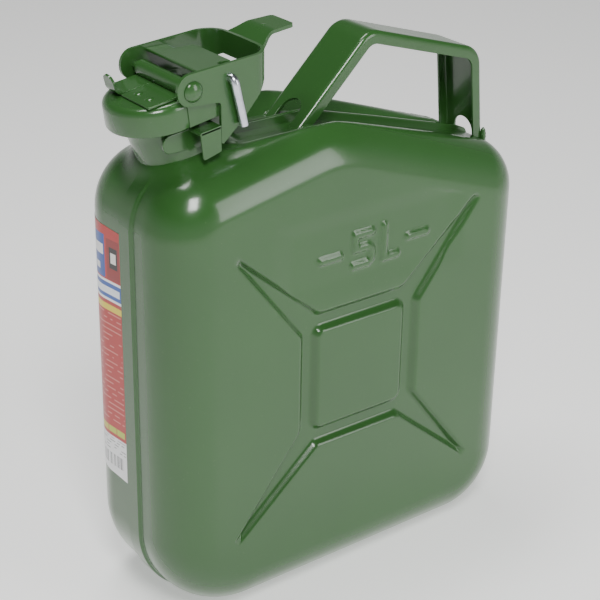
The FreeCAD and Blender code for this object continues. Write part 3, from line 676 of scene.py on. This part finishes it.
lever_piece = finish_piece("lever_strip", lever, "lever", enamel, ["lever"])
lever_wall = lever_piece.modifiers.new("sheet", "SOLIDIFY")
lever_wall.thickness, lever_wall.offset, lever_wall.use_even_offset = 2 * MM, -1, True
soften(lever_piece, 0.5)

tab = plate([(-39.4, -17), (-37.6, -17), (-29.5, -11.2), (-13.6, -9.8), (-12.2, -8.4), (-12.2, 8.4),
             (-13.6, 9.8), (-29.5, 11.2), (-37.6, 17), (-39.4, 17)], [0, 2, 9, 1.5, 1.5, 1.5, 1.5, 9, 2, 0])
for cut in range(-38, -13, 2):
    bmesh.ops.bisect_plane(tab, geom=tab.verts[:] + tab.edges[:] + tab.faces[:], plane_co=(cut, 0, 0),
                           plane_no=(1, 0, 0))
for vert in tab.verts:
    x, y = vert.co.x, vert.co.z
    rise = 313.6 + 5.2 * ease(x, -39.5, -26) + 2.1 * (x + 39.4) / 27.4
    vert.co = (x, y, rise)
bmesh.ops.recalc_face_normals(tab, faces=tab.faces)
if max(tab.faces, key=lambda face: face.calc_area()).normal.z < 0:
    bmesh.ops.reverse_faces(tab, faces=tab.faces)
tab_piece = finish_piece("lever_tab", tab, "lever", enamel)
tab_wall = tab_piece.modifiers.new("sheet", "SOLIDIFY")
tab_wall.thickness, tab_wall.offset = 1.9 * MM, -1
soften(tab_piece, 0.5)

dimple = bmesh.new()
lathe(dimple, [(0, 1.0), (1.0, 0.85), (1.9, 0.4), (2.5, -0.3)], 32)
bmesh.ops.transform(dimple, matrix=Matrix.Translation((-24.5, 0, 319.2)), verts=dimple.verts)
finish_piece("lever_tab_dimple", dimple, "lever", enamel)


# ---------------------------------------------------------------- web between the cheeks
# A flat plate welded between the cheeks above the wire, notched at the near side.

web = plate([(-80, -24.9), (-61.5, -24.9), (-66, -18.8), (-62.5, -14.6), (-56, -16.6), (-56, 16), (-68, 16),
             (-68, 24.9), (-80, 24.9)], [0, 0, 4, 4, 1, 2, 2, 0, 0])
for vert in web.verts:
    vert.co = (vert.co.x, vert.co.z, 310.8)
bmesh.ops.recalc_face_normals(web, faces=web.faces)
if web.faces[:][0].normal.z < 0:
    bmesh.ops.reverse_faces(web, faces=web.faces)
web_piece = finish_piece("lever_web_plate", web, "lever", enamel, ["lever_web"])
web_wall = web_piece.modifiers.new("sheet", "SOLIDIFY")
web_wall.thickness, web_wall.offset = 1.5 * MM, -1
soften(web_piece, 0.4)


# ---------------------------------------------------------------- locking wire
# A 4.5 mm zinc-plated wire pushed through both cheeks, with its near end bent down.

wire_data = bpy.data.curves.new("locking_wire_rod", "CURVE")
wire_data.dimensions = "3D"
wire_data.bevel_depth = 2.25 * MM
wire_data.bevel_resolution = 8
wire_data.resolution_u = 24
wire_data.use_fill_caps = True
wire_line = wire_data.splines.new("BEZIER")
wire_line.bezier_points.add(3)
for spot, (place, before, after) in zip(wire_line.bezier_points, (
        ((-64, 29, 306.5), (-64, 30, 306.5), (-64, 10, 306.5)),
        ((-64, -27.3, 306.5), (-64, -20, 306.5), (-64, -29.1, 306.5)),
        ((-63.2, -30.5, 303.2), (-63.6, -30.5, 305.0), (-62.5, -30.5, 300)),
        ((-58, -30.5, 281.6), (-59, -30.5, 286), (-57.8, -30.5, 281)))):
    spot.co = (Vector(place) + ON_CLOSURE) * MM
    spot.handle_left = (Vector(before) + ON_CLOSURE) * MM
    spot.handle_right = (Vector(after) + ON_CLOSURE) * MM
wire = bpy.data.objects.new("locking_wire_rod", wire_data)
wire_data.materials.append(bright_zinc)
bpy.context.scene.collection.objects.link(wire)
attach(wire, "lock")
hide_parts("locking_wire")


# ---------------------------------------------------------------- handle
# A strap of pressed steel with both edges turned in, bent over the rear half of the roof. Each end is arched
# over the seam flange, so that it stands on two feet, which are welded down.

HANDLE_LINE = [(-31, 257.6), (25, 312.4), (106.2, 288.1), (113.1, 220)]


def strap_path(points, radius, spacing):
    """Points and inward directions along a bent strip, with arcs at its corners."""
    points = [Vector(p) for p in points]
    samples, cursor = [], points[0]
    for i in range(1, len(points)):
        end, arc = points[i], None
        if i < len(points) - 1:
            back, ahead = (points[i - 1] - points[i]).normalized(), (points[i + 1] - points[i]).normalized()
            half = back.angle(ahead) / 2
            reach = radius / math.tan(half)
            end = points[i] + back * reach
            arc = (points[i] + (back + ahead).normalized() * (radius / math.sin(half)), math.pi - 2 * half,
                   points[i] + ahead * reach)
        along = (end - cursor).normalized()
        count = max(int((end - cursor).length / spacing), 1)
        samples += [(cursor.lerp(end, step / count), Vector((along.y, -along.x))) for step in range(count)]
        if arc:
            centre, turn, cursor = arc
            for step in range(10):
                spoke = Matrix.Rotation(-turn * step / 10, 2) @ (end - centre)
                samples.append((centre + spoke, -spoke.normalized()))
        else:
            samples.append((end, Vector((along.y, -along.x))))
    return samples


path = strap_path(HANDLE_LINE, 14, 1.5)
EDGE_ROUND, FLANGE = 2.6, 7.0
section = [(-15.0, FLANGE), (-15.0, 5.0)] + \
    [(-15 + EDGE_ROUND - EDGE_ROUND * math.cos(a), EDGE_ROUND - EDGE_ROUND * math.sin(a)) for a in
     [math.radians(angle) for angle in range(0, 91, 18)]] + [(-9.5, 0), (-7.5, 0), (-6, 0), (-4, 0), (-2, 0)]
section += [(0, 0)] + [(-y, depth) for y, depth in reversed(section)]
# each foot is arched over the seam flange: the arch's centre, and the way up the strap
ARCH = 7.5
arches = [(Vector((-16.6, 271.8)), Vector((56, 54.8)).normalized()),
          (Vector((111.5, 236)), Vector((-6.9, 68.1)).normalized())]
handle = bmesh.new()
bmesh.ops.create_grid(handle, x_segments=len(path) - 1, y_segments=len(section) - 1, size=0.5)
for vert in handle.verts:
    i = round((vert.co.x + 0.5) * (len(path) - 1))
    j = round((vert.co.y + 0.5) * (len(section) - 1))
    point, inward = path[i]
    y, depth = section[j]
    for centre, way in arches:
        along = (point - centre).dot(way)
        away = math.hypot(y, along)
        if depth == 0 and along > 0 and abs(away - ARCH) < 1.1:
            point = point + way * (along * (ARCH / away - 1))
            y = y * ARCH / away
    vert.co = (point.x + inward.x * depth, y, point.y + inward.y * depth)
opened = []
for face in handle.faces:
    middle = face.calc_center_median()
    for centre, way in arches:
        along = (Vector((middle.x, middle.z)) - centre).dot(way)
        if abs(middle.y) < ARCH and -30 < along and (along < 0 or math.hypot(middle.y, along) < ARCH):
            opened.append(face)
bmesh.ops.delete(handle, geom=opened, context="FACES")
bmesh.ops.remove_doubles(handle, verts=handle.verts, dist=0.01)
bmesh.ops.recalc_face_normals(handle, faces=handle.faces)
top_face = max(handle.faces, key=lambda face: face.calc_center_median().z)
if top_face.normal.z < 0:
    bmesh.ops.reverse_faces(handle, faces=handle.faces)
handle_piece = finish_piece("handle_strap", handle, "root", enamel, ["handle"], ON_BODY)
handle_wall = handle_piece.modifiers.new("sheet", "SOLIDIFY")
handle_wall.thickness, handle_wall.offset, handle_wall.use_even_offset = 1.5 * MM, -1, True
soften(handle_piece, 0.4)


# ---------------------------------------------------------------- weld beads at the handle's feet
# Short fillet welds on the outside of each foot, enamelled over.

BEAD_RADIUS, BEAD_HALF = 1.9, 5.5
for foot, x, z, turn in (("front", -17, 265.9, 90), ("rear", 111.6, 235, 0)):
    for side_name, y in (("near", -15.3), ("far", 15.3)):
        bead = bmesh.new()
        bmesh.ops.create_uvsphere(bead, u_segments=32, v_segments=20, radius=BEAD_RADIUS)
        for vert in bead.verts:
            run = vert.co.z / BEAD_RADIUS
            ripple = 1 + 0.10 * math.cos(run * 18)
            vert.co = (vert.co.x * ripple, vert.co.y * ripple, run * BEAD_HALF)
        bmesh.ops.rotate(bead, cent=(0, 0, 0), matrix=Matrix.Rotation(math.radians(turn), 3, "Y"),
                         verts=bead.verts)
        bmesh.ops.translate(bead, vec=(x, y, z), verts=bead.verts)
        weld = f"{foot}_foot_weld_{side_name}"
        finish_piece(weld + "_bead", bead, "root", enamel, [weld], ON_BODY)

# ---------------------------------------------------------------- label
# A printed paper label on the far half's front wall, beside the lap band and round the start of the rounding:
# plain blocks of colour and rows of dashes, no lettering.

label_paper, label_tree, label_shader = new_material("printed_coated_paper")
label_place = node(label_tree, "SeparateXYZ", {"Vector": node(label_tree, "TexCoord").outputs["Object"]})
label_u = node(label_tree, "MapRange", {"Value": label_place.outputs["Y"], "From Min": 0.034,
                                        "From Max": 0.001})
label_v = node(label_tree, "MapRange", {"Value": label_place.outputs["Z"], "From Min": 0.077,
                                        "From Max": 0.2255})


def between(tree, socket, low, high):
    """1 where a value lies between low and high, else 0."""
    over = node(tree, "Math", {0: socket, 1: low}, operation="GREATER_THAN")
    under = node(tree, "Math", {0: socket, 1: high}, operation="LESS_THAN")
    return node(tree, "Math", {0: over.outputs[0], 1: under.outputs[0]}, operation="MULTIPLY").outputs[0]


def overlay(tree, base, mask, code):
    """Print a colour over the base where the mask is 1."""
    return node(tree, "Mix", {"Factor": mask, 6: base, 7: srgb(code)}, data_type="RGBA").outputs[2]


slanted_v = node(label_tree, "Math", {0: label_u.outputs[0], 1: -0.02, 2: label_v.outputs[0]},
                 operation="MULTIPLY_ADD").outputs[0]
printed = node(label_tree, "RGB").outputs[0]
printed.default_value = srgb("#b3231f")
for code, u_low, u_high, v_low, v_high in (
        ("#1f4fa3", 0.06, 0.50, 0.80, 0.965), ("#e8e8ea", 0.10, 0.46, 0.885, 0.925),
        ("#e8e8ea", 0.16, 0.34, 0.825, 0.85), ("#8c1714", 0.56, 0.94, 0.80, 0.955),
        ("#17120f", 0.64, 0.88, 0.845, 0.925), ("#e6e2dc", 0.68, 0.84, 0.865, 0.905),
        ("#f0f0f2", 0.0, 1.0, 0.715, 0.795), ("#2453a8", 0.0, 1.0, 0.725, 0.785),
        ("#e9edf4", 0.10, 0.92, 0.74, 0.768), ("#e3cc2a", 0.03, 0.97, 0.675, 0.700),
        ("#c9bd2c", 0.10, 0.40, 0.172, 0.198), ("#b7c43a", 0.42, 0.66, 0.172, 0.198),
        ("#b7c43a", 0.68, 0.92, 0.172, 0.198), ("#ececee", 0.0, 1.0, -0.1, 0.158),
):
    box = node(label_tree, "Math", {0: between(label_tree, label_u.outputs[0], u_low, u_high),
                                    1: between(label_tree, slanted_v, v_low - 0.01, v_high - 0.01)},
               operation="MULTIPLY").outputs[0]
    printed = overlay(label_tree, printed, box, code)
for code, rows, fill, lengths, v_low, v_high in (("#cf7a70", 46.0, 0.24, 3.0, 0.21, 0.66),
                                                 ("#8d8d90", 80.0, 0.30, 4.0, 0.085, 0.14)):
    row_phase = node(label_tree, "Math", {0: slanted_v, 1: rows}, operation="MULTIPLY").outputs[0]
    row_part = node(label_tree, "Math", {0: row_phase}, operation="FRACT").outputs[0]
    row_index = node(label_tree, "Math", {0: row_phase}, operation="FLOOR").outputs[0]
    dash_run = node(label_tree, "Math", {0: label_u.outputs[0], 1: lengths}, operation="MULTIPLY").outputs[0]
    dash_place = node(label_tree, "CombineXYZ", {"X": dash_run, "Y": row_index})
    dashes = node(label_tree, "TexNoise", {"Vector": dash_place.outputs[0], "Scale": 1.7, "Detail": 0.0})
    inked = node(label_tree, "Math", {0: dashes.outputs["Fac"], 1: 0.46}, operation="GREATER_THAN").outputs[0]
    on_row = node(label_tree, "Math", {0: row_part, 1: fill}, operation="LESS_THAN").outputs[0]
    zone = node(label_tree, "Math", {0: between(label_tree, label_u.outputs[0], 0.07, 0.93),
                                     1: between(label_tree, slanted_v, v_low, v_high)},
                operation="MULTIPLY").outputs[0]
    inked_row = node(label_tree, "Math", {0: inked, 1: on_row}, operation="MULTIPLY").outputs[0]
    mask = node(label_tree, "Math", {0: inked_row, 1: zone}, operation="MULTIPLY").outputs[0]
    printed = overlay(label_tree, printed, mask, code)
bar_phase = node(label_tree, "Math", {0: label_u.outputs[0], 1: 21.0}, operation="MULTIPLY").outputs[0]
bar_place = node(label_tree, "CombineXYZ", {"X": bar_phase}).outputs[0]
bar_noise = node(label_tree, "TexNoise", {"Vector": bar_place, "Scale": 1.9, "Detail": 2.0})
bars = node(label_tree, "Math", {0: bar_noise.outputs["Fac"], 1: 0.52}, operation="GREATER_THAN").outputs[0]
bar_zone = node(label_tree, "Math", {0: between(label_tree, label_u.outputs[0], 0.14, 0.86),
                                     1: between(label_tree, slanted_v, 0.022, 0.072)},
                operation="MULTIPLY").outputs[0]
bar_mask = node(label_tree, "Math", {0: bars, 1: bar_zone}, operation="MULTIPLY").outputs[0]
printed = overlay(label_tree, printed, bar_mask, "#2c2c30")
label_tree.links.new(printed, label_shader.inputs["Base Color"])
label_shader.inputs["Roughness"].default_value = 0.34
# fibre lumps 5.6 mm apart, coarser than real paper's so that they show
paper_place = node(label_tree, "TexCoord").outputs["Object"]
paper_grain = node(label_tree, "TexNoise", {"Vector": paper_place, "Scale": 180.0})
paper_bump = node(label_tree, "Bump", {"Height": paper_grain.outputs["Fac"], "Strength": 0.15,
                                       "Distance": 0.0001})
label_tree.links.new(paper_bump.outputs["Normal"], label_shader.inputs["Normal"])

LABEL_WIDE, LABEL_HIGH, LABEL_MIDDLE, LABEL_EDGE = 39.5, 148.5, 151.25, 1
ROUNDING_X = -93.5                      # the middle of the face's rounding, at the front wall
PAPER_RADIUS = FACE_ROUND + 0.13        # the paper's outside, where it goes round
FLAT_RUN = WALL_FLAT - LABEL_EDGE
label = bmesh.new()
bmesh.ops.create_grid(label, x_segments=40, y_segments=60, size=0.5)
for vert in label.verts:
    run, z = (vert.co.x + 0.5) * LABEL_WIDE, LABEL_MIDDLE + vert.co.y * LABEL_HIGH
    if run <= FLAT_RUN:
        vert.co = (ROUNDING_X - PAPER_RADIUS, LABEL_EDGE + run, z)
    else:
        turn = (run - FLAT_RUN) / PAPER_RADIUS
        vert.co = (ROUNDING_X - PAPER_RADIUS * math.cos(turn), WALL_FLAT + PAPER_RADIUS * math.sin(turn), z)
bmesh.ops.recalc_face_normals(label, faces=label.faces)
if label.faces[:][0].normal.x > 0:
    bmesh.ops.reverse_faces(label, faces=label.faces)
finish_piece("front_label", label, "root", label_paper, ["label"], ON_BODY)
